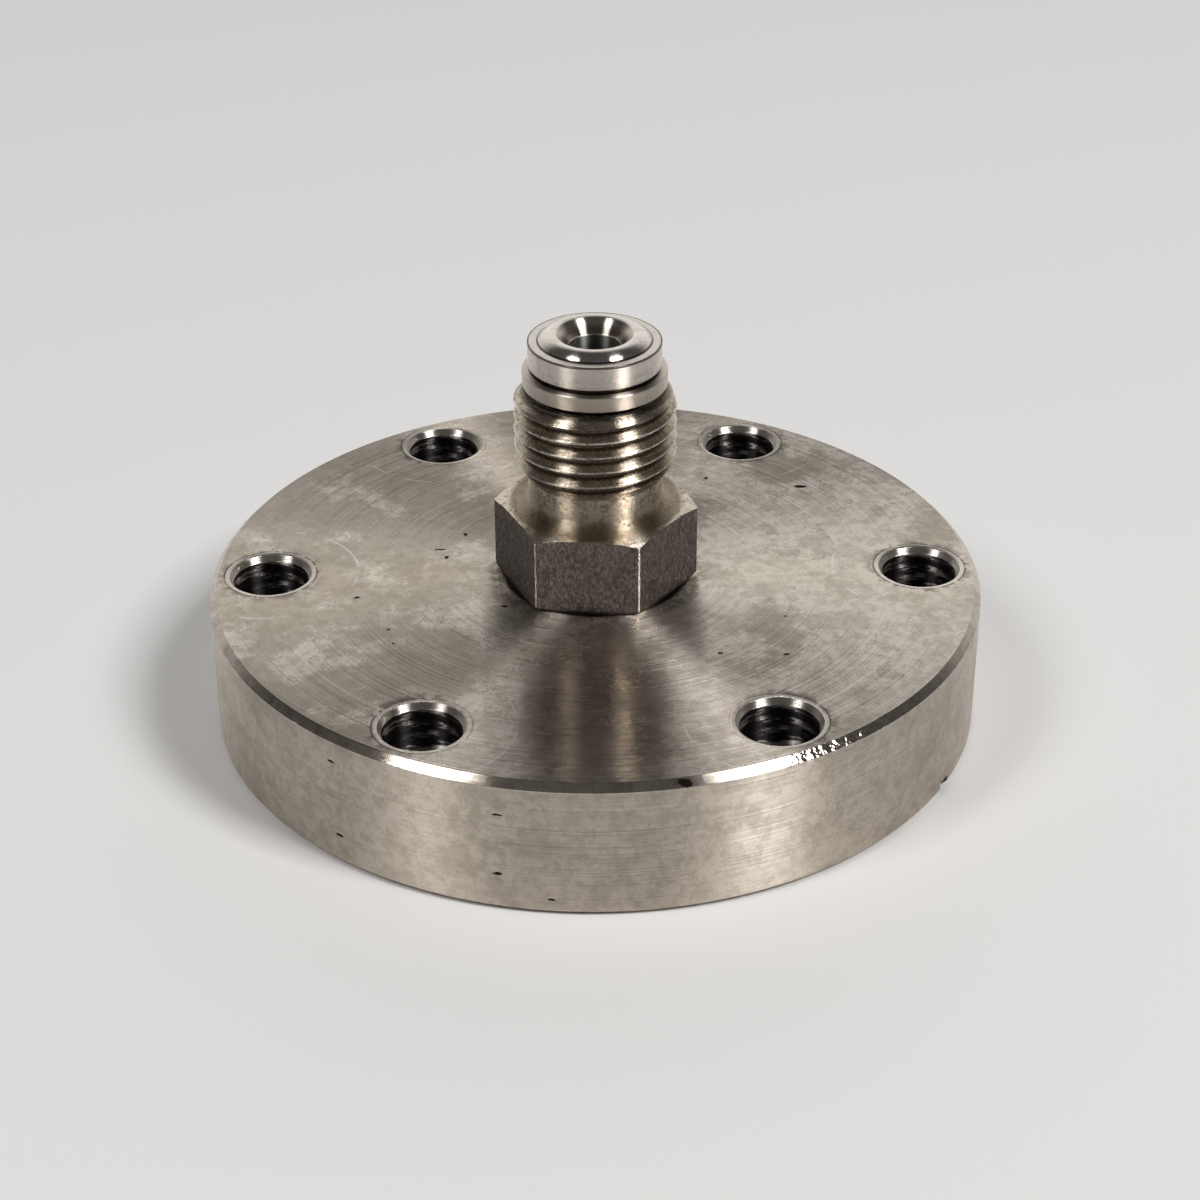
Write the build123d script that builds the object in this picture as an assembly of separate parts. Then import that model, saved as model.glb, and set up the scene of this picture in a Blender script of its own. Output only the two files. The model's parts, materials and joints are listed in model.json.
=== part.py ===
from build123d import *
import math
import os

# Knife-edge vacuum flange with a welded face-seal gland and its captive male nut.
# Millimetres. The flange lies with its sealing side down: z = 0 is the mating face, the
# gland rises along +Z, and the first bolt hole is on +X.

# --- flange blank ---
flange_dia = 69.34
flange_thickness = 12.7
upper_edge_break = 0.63
lower_edge_break = 0.5

# --- bolt holes ---
bolt_to_rim = 5.31
bolt_count = 6
bolt_hole_dia = 6.73
countersink_dia = 7.4
countersink_depth = 0.65
hole_edge_break = 0.25

# --- knife-edge seal ---
recess_to_bolts = 5.21
knife_flank_width = 3.2
knife_edge_setback = 0.64
knife_flank_angle = 20.0
knife_inner_drop = 2.0
floor_corner_radius = 0.8

# --- leak-check grooves across the mating face ---
leak_groove_width = 1.6
leak_groove_depth = 1.1
leak_groove_angles = (-30.0, 150.0)

# --- weld preparation round the stub ---
weld_lip_width = 0.9
weld_relief_width = 1.4
weld_relief_depth = 1.3
weld_bead_overlap = 0.55
weld_bead_height = 0.35

# --- gland ---
tube_dia = 6.35
tube_bore_dia = 4.6
hub_dia = 9.5
lower_land_dia = 12.7
lower_land_height = 1.4
land_groove_dia = 10.6
land_groove_width = 0.46
upper_land_dia = 11.7
upper_land_height = 2.1
land_edge_break = 0.18
seal_bead_foot_dia = 9.95
seal_bead_shoulder_dia = 9.4
seal_bead_crest_dia = 7.5
seal_bead_lip_dia = 6.76
bead_shoulder_height = 0.295
seal_bead_height = 0.68
bead_lip_height = 0.63
mouth_depth = 0.55
mouth_bulge = 0.06

# --- male nut ---
nut_length = 18.3
hex_across_flats = 15.875
hex_corner_dia = 18.2
hex_height = 7.15
hex_angle = -6.4
hex_face_dia = 16.4
hex_chamfer_angle = 22.0
nut_flare_dia = 15.2
nut_neck_dia = 12.0
nut_neck_start = 8.3
nut_neck_end = 10.35
thread_major_dia = 14.29
thread_chamfer = 0.75
thread_runout_dia = 12.3
thread_runout_length = 1.5
nut_mouth_dia = 11.6
nut_mouth_depth = 0.5

# --- clearances ---
stub_clearance = 0.03
nut_bore_clearance = 0.2
nut_seat_gap = 0.05
nut_end_float = 0.5

# --- diameters and heights that follow from the sizes above ---
bolt_circle_dia = flange_dia - 2 * bolt_to_rim
gasket_recess_dia = bolt_circle_dia - 2 * recess_to_bolts
knife_edge_dia = gasket_recess_dia - 2 * knife_flank_width
floor_z = knife_edge_setback + knife_inner_drop
nut_z = flange_thickness + nut_seat_gap
gland_head_z = nut_z + nut_length + nut_end_float
stub_bore_dia = tube_dia + 2 * stub_clearance


def turned(*edges):
    """Solid of revolution about Z, from a closed outline of edges in the XZ plane."""
    return revolve(make_face(Wire(list(edges))), Axis.Z)


def run(*points):
    """Straight edges through (radius, height) points in the XZ plane."""
    ends = [Vector(radius, 0, height) for radius, height in points]
    return [Edge.make_line(a, b) for a, b in zip(ends, ends[1:])]


def arc(start, middle, end):
    """One circular edge through three (radius, height) points in the XZ plane."""
    return Edge.make_three_point_arc(*[Vector(r, 0, z) for r, z in (start, middle, end)])


def flange_blank():
    """Turned disc: mating face, gasket recess, knife edge, inner floor and weld lip."""
    outer = flange_dia / 2
    recess = gasket_recess_dia / 2
    tip = knife_edge_dia / 2
    flank_rise = (recess - tip) * math.tan(math.radians(knife_flank_angle))
    corner = floor_corner_radius
    corner_mid = corner * (1 - math.sqrt(0.5))
    bore = stub_bore_dia / 2
    lip = bore + weld_lip_width
    relief = lip + weld_relief_width
    relief_z = floor_z + weld_relief_depth
    wall = run(
        (tip - corner, floor_z),
        (relief, floor_z),
        (relief, relief_z),
        (lip, relief_z),
        (lip, floor_z),
        (bore, floor_z),
        (bore, flange_thickness),
        (outer - upper_edge_break, flange_thickness),
        (outer, flange_thickness - upper_edge_break),
        (outer, lower_edge_break),
        (outer - lower_edge_break, 0),
        (recess, 0),
        (recess, knife_edge_setback + flank_rise),
        (tip, knife_edge_setback),
        (tip, floor_z - corner),
    )
    floor_corner = arc(
        (tip, floor_z - corner),
        (tip - corner_mid, floor_z - corner_mid),
        (tip - corner, floor_z),
    )
    return turned(*wall, floor_corner)


def bolt_hole():
    """Cutter for one bolt hole: bore, countersink above and edge break below."""
    bore = bolt_hole_dia / 2
    sink = countersink_dia / 2
    past = 1.0
    return turned(
        *run(
            (0, -past),
            (bore + hole_edge_break, -past),
            (bore + hole_edge_break, 0),
            (bore, hole_edge_break),
            (bore, flange_thickness - countersink_depth),
            (sink, flange_thickness),
            (sink, flange_thickness + past),
            (0, flange_thickness + past),
            (0, -past),
        )
    )


def leak_groove(angle):
    """Cutter for one leak-check groove, from the gasket recess out through the rim."""
    start = gasket_recess_dia / 2 - leak_groove_width
    length = flange_dia / 2 + leak_groove_width - start
    groove = Box(
        length,
        leak_groove_width,
        2 * leak_groove_depth,
        align=(Align.MIN, Align.CENTER, Align.CENTER),
    )
    # the cutter stays outside the knife edge, so it starts at the recess wall
    outside = Cylinder(flange_dia, 4 * leak_groove_depth) - Cylinder(
        gasket_recess_dia / 2 - 0.01, 5 * leak_groove_depth
    )
    return (Rot(0, 0, angle) * Pos(start, 0, 0) * groove) & outside


def make_flange():
    """Flange: turned blank with its bolt holes drilled and leak-check grooves milled."""
    flange = flange_blank()
    for place in PolarLocations(bolt_circle_dia / 2, bolt_count):
        flange -= place * bolt_hole()
    for angle in leak_groove_angles:
        flange -= leak_groove(angle)
    return flange


def make_gland():
    """Gland: weld stub, hub and head with two lands, a groove and a toroidal seal bead."""
    bore = tube_bore_dia / 2
    stub = tube_dia / 2
    hub = hub_dia / 2
    lower = lower_land_dia / 2
    groove = land_groove_dia / 2
    upper = upper_land_dia / 2
    foot = seal_bead_foot_dia / 2
    shoulder = seal_bead_shoulder_dia / 2
    crest = seal_bead_crest_dia / 2
    lip = seal_bead_lip_dia / 2
    lower_top = gland_head_z + lower_land_height
    groove_top = lower_top + land_groove_width
    face_z = groove_top + upper_land_height
    shoulder_z = face_z + bead_shoulder_height
    lip_z = face_z + bead_lip_height
    mouth_z = face_z - mouth_depth
    outside = run(
        (bore, mouth_z),
        (bore, floor_z),
        (stub, floor_z),
        (stub, flange_thickness),
        (hub, flange_thickness),
        (hub, gland_head_z),
        (lower - land_edge_break, gland_head_z),
        (lower, gland_head_z + land_edge_break),
        (lower, lower_top),
        (groove, lower_top),
        (groove, groove_top),
        (upper, groove_top),
        (upper, face_z - land_edge_break),
        (upper - land_edge_break, face_z),
        (foot, face_z),
        (shoulder, shoulder_z),
    )
    crest_z = face_z + seal_bead_height
    seal_bead = arc((shoulder, shoulder_z), (crest, crest_z), (lip, lip_z))
    # the mouth falls from lip to bore in a flat arc that bulges towards the axis
    chord = math.hypot(lip - bore, lip_z - mouth_z)
    mouth_middle = (
        (lip + bore) / 2 - mouth_bulge * (lip_z - mouth_z) / chord,
        (lip_z + mouth_z) / 2 + mouth_bulge * (lip - bore) / chord,
    )
    return turned(*outside, seal_bead, arc((lip, lip_z), mouth_middle, (bore, mouth_z)))


def make_weld_bead():
    """Weld bead: the ring of weld metal across the joint of stub and lip."""
    joint = (tube_dia + stub_clearance) / 2
    inner = (joint - weld_bead_overlap, floor_z)
    outer = (joint + weld_bead_overlap, floor_z)
    crown = (joint, floor_z - weld_bead_height)
    return turned(*run(outer, inner), arc(inner, crown, outer))


def hex_body():
    """Hexagon of the nut, with its corners turned back and both ends chamfered."""
    corner = hex_corner_dia / 2
    face = hex_face_dia / 2
    drop = (corner - face) * math.tan(math.radians(hex_chamfer_angle))
    top = nut_z + hex_height
    blank = turned(
        *run(
            (0, nut_z),
            (face, nut_z),
            (corner, nut_z + drop),
            (corner, top - drop),
            (face, top),
            (0, top),
            (0, nut_z),
        )
    )
    section = RegularPolygon(hex_across_flats / 2, 6, major_radius=False, rotation=hex_angle)
    return blank & (Pos(0, 0, nut_z) * extrude(section, hex_height))


def nut_shank():
    """Turned end of the nut: flare above the hexagon, neck and threaded nose."""
    flare = nut_flare_dia / 2
    neck = nut_neck_dia / 2
    major = thread_major_dia / 2
    hex_top = nut_z + hex_height
    neck_z = nut_z + nut_neck_start
    thread_z = nut_z + nut_neck_end
    top = nut_z + nut_length
    bend = math.sqrt(0.5)
    flare_middle = (
        flare - (flare - neck) * bend,
        neck_z - (neck_z - hex_top) * bend,
    )
    outline = run(
        (neck, neck_z),
        (neck, thread_z),
        (thread_runout_dia / 2, thread_z),
        (major, thread_z + thread_runout_length),
        (major, top - thread_chamfer),
        (major - thread_chamfer, top),
        (0, top),
        (0, hex_top),
        (flare, hex_top),
    )
    return turned(*outline, arc((flare, hex_top), flare_middle, (neck, neck_z)))


def make_male_nut():
    """Male nut: hexagon and threaded shank, bored to turn freely on the gland's hub."""
    bore = hub_dia / 2 + nut_bore_clearance
    mouth = nut_mouth_dia / 2
    top = nut_z + nut_length
    past = 1.0
    cutter = turned(
        *run(
            (0, nut_z - past),
            (bore, nut_z - past),
            (bore, top - nut_mouth_depth),
            (mouth, top),
            (mouth, top + past),
            (0, top + past),
            (0, nut_z - past),
        )
    )
    return hex_body() + nut_shank() - cutter


parts = {
    "flange": make_flange(),
    "gland": make_gland(),
    "weld_bead": make_weld_bead(),
    "male_nut": make_male_nut(),
}

os.makedirs("parts", exist_ok=True)
for name, solid in parts.items():
    export_step(solid, f"parts/{name}.step")
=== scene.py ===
import json
import math

import bpy
import numpy as np
from mathutils import Matrix, Vector


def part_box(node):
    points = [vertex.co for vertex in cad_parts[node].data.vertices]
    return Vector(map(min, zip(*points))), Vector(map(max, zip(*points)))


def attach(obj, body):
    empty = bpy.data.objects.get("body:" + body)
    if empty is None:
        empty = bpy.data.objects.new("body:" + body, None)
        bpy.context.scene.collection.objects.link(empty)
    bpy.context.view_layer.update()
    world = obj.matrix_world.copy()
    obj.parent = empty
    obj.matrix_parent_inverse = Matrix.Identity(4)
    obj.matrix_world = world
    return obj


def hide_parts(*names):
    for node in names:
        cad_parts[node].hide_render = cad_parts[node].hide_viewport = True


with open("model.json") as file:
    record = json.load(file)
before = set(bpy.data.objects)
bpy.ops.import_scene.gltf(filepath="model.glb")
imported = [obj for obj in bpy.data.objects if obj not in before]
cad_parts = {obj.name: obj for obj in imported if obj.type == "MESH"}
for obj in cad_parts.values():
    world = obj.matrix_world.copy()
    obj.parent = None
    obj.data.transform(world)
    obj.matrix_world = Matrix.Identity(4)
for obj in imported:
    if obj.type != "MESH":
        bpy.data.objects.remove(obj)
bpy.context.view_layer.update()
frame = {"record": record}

# === Flange ============================================================================
# A disc turned from stainless bar and drilled with six countersunk bolt holes. Below it
# has the gasket recess, knife edge and two leak-check grooves; above it is a plain face.

mm = 0.001
mounts = {mount["name"]: mount for mount in frame["record"]["mounts"]}
bolts = mounts["bolts"]["dims"]
_, flange_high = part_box("flange")
rim_radius = flange_high.x
face_z = flange_high.z
bolt_radius = bolts["pcd_mm"] / 2 * mm
hole_radius = bolts["hole_r_mm"] * mm
bolt_count = bolts["count"]

countersink_radius = hole_radius + 0.335 * mm
countersink_depth = 0.65 * mm
countersink_roll = 0.06 * mm
hole_break = 0.25 * mm
upper_break = 0.63 * mm
lower_break = 0.5 * mm
flank_width = 3.2 * mm
flank_slope = math.tan(math.radians(20))
recess_radius = bolt_radius - 5.21 * mm
knife_radius = recess_radius - flank_width
knife_z = 0.64 * mm
flank_top = knife_z + flank_width * flank_slope
floor_z = knife_z + 2.0 * mm
floor_corner = 0.8 * mm
groove_width = 1.6 * mm
groove_depth = 1.1 * mm
groove_sectors = (2, 5)
stub_radius = 3.175 * mm
stub_bore = stub_radius + 0.03 * mm
lip_radius = stub_bore + 0.9 * mm
relief_radius = lip_radius + 1.4 * mm
relief_z = floor_z + 1.3 * mm

# polar cell round each bolt hole, and how finely the face is divided
cell_reach = 4.25 * mm
cell_inner = bolt_radius - cell_reach
cell_outer = bolt_radius + cell_reach
cell_half = math.radians(8.7)
pitch_angle = 2 * math.pi / bolt_count
cell_columns = 36
cell_rows = 20
web_columns = 84
edge_column = 3


def outline(corners, cuts, longest=1.0):
    """Points through (radius, height) corners. Each inner corner is cut back along both of
    its runs and bridged by a parabola, and no straight step is longer than longest."""
    corners = np.asarray(corners, float)
    ends = [corners[:1]]
    last = corners[0]
    turn = np.linspace(0, 1, 6)[:, None]
    for before, corner, after, cut in zip(corners, corners[1:], corners[2:], cuts):
        back, on = before - corner, after - corner
        entry = corner + back * min(cut / np.linalg.norm(back), 0.49)
        leave = corner + on * min(cut / np.linalg.norm(on), 0.49)
        steps = max(1, math.ceil(np.linalg.norm(entry - last) / longest))
        ends.append(last + (entry - last) * np.linspace(0, 1, steps + 1)[1:, None])
        if cut > 0:
            bend = (1 - turn) ** 2 * entry + 2 * turn * (1 - turn) * corner + turn**2 * leave
            ends.append(bend[1:])
        last = leave
    steps = max(1, math.ceil(np.linalg.norm(corners[-1] - last) / longest))
    ends.append(last + (corners[-1] - last) * np.linspace(0, 1, steps + 1)[1:, None])
    return np.concatenate(ends)


def lathe(profile, angles):
    """Surface of revolution: the point of radius r and height z at angle a is
    (r cos a, r sin a, z). Angles are one row, or one row for each profile point."""
    radius, height = profile[:, :1], profile[:, 1:2]
    angles = np.broadcast_to(angles, (len(profile), np.shape(angles)[-1]))
    return np.stack(
        [radius * np.cos(angles), radius * np.sin(angles), height + 0 * angles], -1
    )


def turned_by(points, angle):
    """Points turned about Z by an angle."""
    c, s = math.cos(angle), math.sin(angle)
    return points @ np.array([[c, s, 0], [-s, c, 0], [0, 0, 1]])


def weld(name, patches, crease=38):
    """One mesh from grids of points. Neighbours in a grid make a quad, points that fall
    within a tenth of a micron are one vertex, and a quad that closes on itself loses a side.
    Edges that turn by more than crease degrees are sharp."""
    points, quads, first = [], [], 0
    for patch in patches:
        rows, columns = patch.shape[:2]
        index = first + np.arange(rows * columns).reshape(rows, columns)
        quads.append(
            np.stack([index[:-1, :-1], index[1:, :-1], index[1:, 1:], index[:-1, 1:]], -1)
            .reshape(-1, 4)
        )
        points.append(patch.reshape(-1, 3))
        first += rows * columns
    points = np.concatenate(points)
    keys = np.round(points * 1e7 + 0.3).astype(np.int64)
    _, kept, same = np.unique(keys, axis=0, return_index=True, return_inverse=True)
    quads = same.reshape(-1)[np.concatenate(quads)]
    keep = quads != np.roll(quads, -1, axis=1)
    sides = keep.sum(1)
    keep[sides < 3] = False
    sides = sides[sides > 2]
    mesh = bpy.data.meshes.new(name)
    mesh.vertices.add(len(kept))
    mesh.vertices.foreach_set("co", points[kept].astype(np.float32).ravel())
    mesh.loops.add(int(sides.sum()))
    mesh.loops.foreach_set("vertex_index", quads[keep].astype(np.int32))
    mesh.polygons.add(len(sides))
    starts = np.concatenate([[0], np.cumsum(sides)[:-1]])
    mesh.polygons.foreach_set("loop_start", starts.astype(np.int32))
    mesh.polygons.foreach_set("use_smooth", np.ones(len(sides), bool))
    mesh.update(calc_edges=True)
    mesh.validate()
    mesh.set_sharp_from_angle(angle=math.radians(crease))
    piece = bpy.data.objects.new(name, mesh)
    bpy.context.scene.collection.objects.link(piece)
    return piece


def dented(patch, dents):
    """Rim points pushed towards the axis. Each dent is an azimuth, a height, a width, a
    tallness and a depth, and sinks by depth times exp(-(along/width)^2 - (up/tall)^2)."""
    azimuth = np.arctan2(patch[..., 1], patch[..., 0])
    radius = np.hypot(patch[..., 0], patch[..., 1])
    sink = np.zeros_like(radius)
    for degrees, height, width, tall, depth in dents:
        away = (azimuth - math.radians(degrees) + math.pi) % (2 * math.pi) - math.pi
        along = away * rim_radius / (width * mm)
        up = (patch[..., 2] - height * mm) / (tall * mm)
        sink += depth * mm * np.exp(-(along**2) - up**2)
    on_rim = np.clip((radius / rim_radius - 0.975) / 0.01, 0, 1)
    shrink = 1 - sink * on_rim / np.maximum(radius, mm)
    return patch * np.stack([shrink, shrink, np.ones_like(shrink)], -1)


# dents in the rim that hold black dirt, and knocks along the upper edge: each an azimuth in
# degrees, then height, width, tallness and depth in millimetres
dirty_dents = [
    (-129.8, 10.1, 0.36, 0.15, 0.15),
    (-129.0, 2.9, 0.42, 0.16, 0.15),
    (-104.2, 9.4, 0.42, 0.11, 0.12),
    (-104.3, 3.6, 0.36, 0.19, 0.18),
    (-97.0, 1.5, 0.25, 0.14, 0.12),
]
edge_knocks = [
    (-136.7, 11.9, 0.2, 0.3, 0.1),
    (-142.5, 12.3, 0.1, 0.4, 0.1),
    (-47.8, 12.2, 0.15, 0.4, 0.12),
    (-61.5, 12.2, 0.22, 0.3, 0.08),
    (-59.5, 12.4, 0.15, 0.2, 0.08),
    (-57.2, 12.3, 0.2, 0.4, 0.1),
    (-55.0, 12.1, 0.25, 0.2, 0.08),
    (-52.6, 12.3, 0.2, 0.4, 0.1),
    (-50.4, 12.4, 0.15, 0.3, 0.08),
]
rim_dents = dirty_dents + edge_knocks

outer_run = outline(
    [
        (cell_outer, face_z),
        (rim_radius - upper_break, face_z),
        (rim_radius, face_z - upper_break),
        (rim_radius, lower_break),
        (rim_radius - lower_break, 0),
        (cell_outer, 0),
    ],
    [0.03 * mm, 0.03 * mm, 0.05 * mm, 0.05 * mm],
    longest=0.3 * mm,
)
inner_run = outline(
    [
        (cell_inner, 0),
        (recess_radius, 0),
        (recess_radius, flank_top),
        (knife_radius, knife_z),
        (knife_radius, floor_z),
        (relief_radius, floor_z),
        (relief_radius, relief_z),
        (lip_radius, relief_z),
        (lip_radius, floor_z),
        (stub_bore, floor_z),
        (stub_bore, face_z),
        (cell_inner, face_z),
    ],
    [0.05 * mm, 0.12 * mm, 0.02 * mm, floor_corner, 0.1 * mm, 0.3 * mm, 0.3 * mm, 0.06 * mm,
     0.02 * mm, 0.02 * mm],
    longest=4 * mm,
)
web_step = (cell_outer - cell_inner) / (cell_rows - 0.5)
upper_web = outline([(cell_inner, face_z), (cell_outer, face_z)], [], web_step)
lower_web = outline([(cell_outer, 0), (cell_inner, 0)], [], web_step)
web_run = np.concatenate([upper_web, outer_run[1:], lower_web[1:], inner_run[1:]])

patches = []
web_half = pitch_angle / 2 - cell_half
for sector in range(bolt_count):
    # hole sector: the rim outside the cell, and everything inside it
    hole_angle = sector * pitch_angle
    across = hole_angle + np.linspace(-cell_half, cell_half, cell_columns + 1)
    patches.append(dented(lathe(outer_run, across), rim_dents))
    patches.append(lathe(inner_run, across))
    # web sector: the whole section, with a leak-check groove across two of them
    middle = hole_angle + pitch_angle / 2
    offset = np.linspace(-1, 1, web_columns + 1)
    if sector not in groove_sectors:
        patches.append(dented(lathe(web_run, middle + offset * web_half), rim_dents))
        continue
    # the columns bend so that two of them follow the groove's parallel walls
    half_columns = web_columns // 2
    steps = np.abs(np.arange(-half_columns, half_columns + 1))
    wall = np.arcsin(groove_width / 2 / web_run[:, :1])
    inside = steps / edge_column * wall
    outside = wall + (steps - edge_column) / (half_columns - edge_column) * (web_half - wall)
    bent = middle + np.sign(offset) * np.where(steps <= edge_column, inside, outside)
    under = (web_run[:, 0] > recess_radius - 1e-9) & (web_run[:, 1] < groove_depth)
    milled = web_run.copy()
    milled[under, 1] = groove_depth
    left, right = half_columns - edge_column, half_columns + edge_column
    plain = dented(lathe(web_run, bent), rim_dents)
    cut = dented(lathe(milled, bent), rim_dents)
    patches += [plain[:, : left + 1], cut[:, left : right + 1], plain[:, right:]]
    patches.append(np.stack([plain[:, left], cut[:, left]], 1))
    patches.append(np.stack([cut[:, right], plain[:, right]], 1))

# the cell's edge, taken once round the hole anticlockwise, as distance and direction
# from the hole's centre
along = np.linspace(cell_inner, cell_outer, cell_rows + 1)
over = np.linspace(-cell_half, cell_half, cell_columns + 1)
edge_radius = np.concatenate(
    [along[:-1], np.full(cell_columns, cell_outer), along[:0:-1],
     np.full(cell_columns + 1, cell_inner)]
)
edge_angle = np.concatenate(
    [np.full(cell_rows, -cell_half), over[:-1], np.full(cell_rows, cell_half), over[::-1]]
)
edge_x = edge_radius * np.cos(edge_angle) - bolt_radius
edge_y = edge_radius * np.sin(edge_angle)
reach = np.hypot(edge_x, edge_y)
heading = np.arctan2(edge_y, edge_x)


def hole_face(start, height, roll):
    """Face round one hole: rings that grow from radius start to the cell's edge, at one
    height, rolled down next to the hole by roll times (1 - distance/0.4 mm) squared."""
    share = np.array([0, 0.02, 0.05, 0.09, 0.14, 0.22, 0.35, 0.6, 1.0])[:, None]
    radius = start + (reach - start) * share
    near = np.clip(1 - (radius - start) / (0.4 * mm), 0, 1)
    return np.stack(
        [bolt_radius + radius * np.cos(heading), radius * np.sin(heading),
         height - roll * near**2],
        -1,
    )


def hole_wall(profile):
    """Wall of one hole: a profile of radius and height carried round the hole's axis."""
    radius, height = profile[:, :1], profile[:, 1:]
    return np.stack(
        [bolt_radius + radius * np.cos(heading), radius * np.sin(heading),
         height + 0 * heading],
        -1,
    )


lower_hole = hole_radius + hole_break
hole_run = outline(
    [
        (lower_hole, 0),
        (hole_radius, hole_break),
        (hole_radius, face_z - countersink_depth),
        (countersink_radius, face_z - countersink_roll),
    ],
    [0.02 * mm, 0.05 * mm],
    longest=0.8 * mm,
)
for sector in range(bolt_count):
    for patch in (
        hole_face(countersink_radius, face_z, countersink_roll),
        hole_face(lower_hole, 0, 0)[::-1],
        hole_wall(hole_run),
    ):
        patches.append(turned_by(patch, sector * pitch_angle))
flange = weld("flange_body", patches)


def node(tree, kind, inputs=(), **settings):
    """A shader node with its settings made. An input given a socket is linked to it."""
    made = tree.nodes.new(kind)
    for name, value in settings.items():
        setattr(made, name, value)
    for name, value in dict(inputs).items():
        if isinstance(value, bpy.types.NodeSocket):
            tree.links.new(value, made.inputs[name])
        else:
            made.inputs[name].default_value = value
    return made


def calc(tree, operation, *values):
    """The result of one Math node."""
    return node(tree, "ShaderNodeMath", dict(enumerate(values)), operation=operation).outputs[0]


def times(tree, first, *others):
    """The product of several values."""
    product = first
    for other in others:
        product = calc(tree, "MULTIPLY", product, other)
    return product


def vector(tree, operation, inputs):
    """The result of one Vector Math node."""
    return node(tree, "ShaderNodeVectorMath", inputs, operation=operation).outputs[0]


def length(tree, value):
    """The length of a vector."""
    return node(tree, "ShaderNodeVectorMath", {0: value}, operation="LENGTH").outputs[1]


def fade(tree, value, start, end):
    """0 at start, 1 at end and smooth between, with start above end for a fall."""
    made = node(tree, "ShaderNodeMapRange", {"Value": value, "From Min": start, "From Max": end},
                interpolation_type="SMOOTHSTEP")
    return made.outputs[0]


def band(tree, value, middle, outer, inner):
    """1 within inner of the middle, falling to 0 at outer from it."""
    away = calc(tree, "ABSOLUTE", calc(tree, "SUBTRACT", value, middle))
    return fade(tree, away, outer, inner)


def blend(tree, share, first, second):
    """A number between first and second."""
    inputs = {0: share, 2: first, 3: second}
    return node(tree, "ShaderNodeMix", inputs, data_type="FLOAT").outputs[0]


def tint(tree, share, first, second):
    """A colour between first and second."""
    pair = [colour if isinstance(colour, bpy.types.NodeSocket) else (*colour, 1)
            for colour in (first, second)]
    made = node(tree, "ShaderNodeMix", {0: share, 6: pair[0], 7: pair[1]}, data_type="RGBA")
    return made.outputs[2]


def coat(tree, steel, colour, strength, *shares):
    """Steel with a colour laid over it, by a strength times the shares."""
    return tint(tree, times(tree, *shares, strength), steel, colour)


def noise(tree, place, scale, detail=4, rough=0.5, **fourth):
    """Noise about a mean of a half. A fourth coordinate makes it four-dimensional."""
    inputs = {"Vector": place, "Scale": scale, "Detail": detail, "Roughness": rough, **fourth}
    size = "4D" if fourth else "3D"
    return node(tree, "ShaderNodeTexNoise", inputs, noise_dimensions=size).outputs[0]


def spots(tree, across, up, places):
    """1 inside any of some ellipses, each given as centre, half width and half height."""
    cover = 0.0
    for x, y, half_width, half_height in places:
        off_x = calc(tree, "DIVIDE", calc(tree, "SUBTRACT", across, x), half_width)
        off_y = calc(tree, "DIVIDE", calc(tree, "SUBTRACT", up, y), half_height)
        off = calc(tree, "ADD", times(tree, off_x, off_x), times(tree, off_y, off_y))
        cover = calc(tree, "MAXIMUM", fade(tree, off, 1.2, 0.5), cover)
    return cover


def bare_metal(name, anisotropic):
    """A metal and its tree, shader, place in millimetres, height, radius and the outward
    direction from the Z axis."""
    material = bpy.data.materials.new(name)
    material.use_nodes = True
    tree = material.node_tree
    shader = tree.nodes["Principled BSDF"]
    shader.inputs["Metallic"].default_value = 1
    shader.inputs["Anisotropic"].default_value = anisotropic
    shader.inputs["Anisotropic Rotation"].default_value = 0.25
    coordinates = node(tree, "ShaderNodeTexCoord").outputs["Object"]
    place = vector(tree, "SCALE", {0: coordinates, 3: 1000.0})
    height = node(tree, "ShaderNodeSeparateXYZ", {0: place}).outputs[2]
    level = vector(tree, "MULTIPLY", {0: place, 1: (1, 1, 0)})
    radius = length(tree, level)
    outward = vector(tree, "NORMALIZE", {0: level})
    return material, tree, shader, place, height, radius, outward


def tool_marks(tree, outward, radius, height, count, turn=2.0):
    """Noise that changes count times a millimetre across the marks, and a few times a turn
    along them: its coordinates are the outward direction, the radius and the height."""
    up = node(tree, "ShaderNodeCombineXYZ", {2: calc(tree, "MULTIPLY", radius, count)}).outputs[0]
    spot = vector(tree, "MULTIPLY_ADD", {0: outward, 1: (turn, turn, turn), 2: up})
    return noise(tree, spot, 1.0, 3, 0.6, W=calc(tree, "MULTIPLY", height, count))


def groove_lean(tree, radius, height, count, spread):
    """How far each tool mark's own facet leans: the marks, count to the millimetre, each get
    a random u from 0 to 1, and lean by spread times (u - 1/2) / sqrt(u (1 - u))."""
    rows = [calc(tree, "FLOOR", calc(tree, "MULTIPLY_ADD", distance, count, 0.37))
            for distance in (radius, height)]
    row = calc(tree, "MULTIPLY_ADD", rows[1], 7.0, rows[0])
    u = node(tree, "ShaderNodeTexWhiteNoise", {"W": row}, noise_dimensions="1D").outputs[0]
    u = calc(tree, "MULTIPLY_ADD", u, 0.94, 0.03)
    spare = calc(tree, "MULTIPLY", u, calc(tree, "SUBTRACT", 1.0, u))
    lean = calc(tree, "DIVIDE", calc(tree, "SUBTRACT", u, 0.5), calc(tree, "SQRT", spare))
    return calc(tree, "MULTIPLY", lean, spread)


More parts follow.
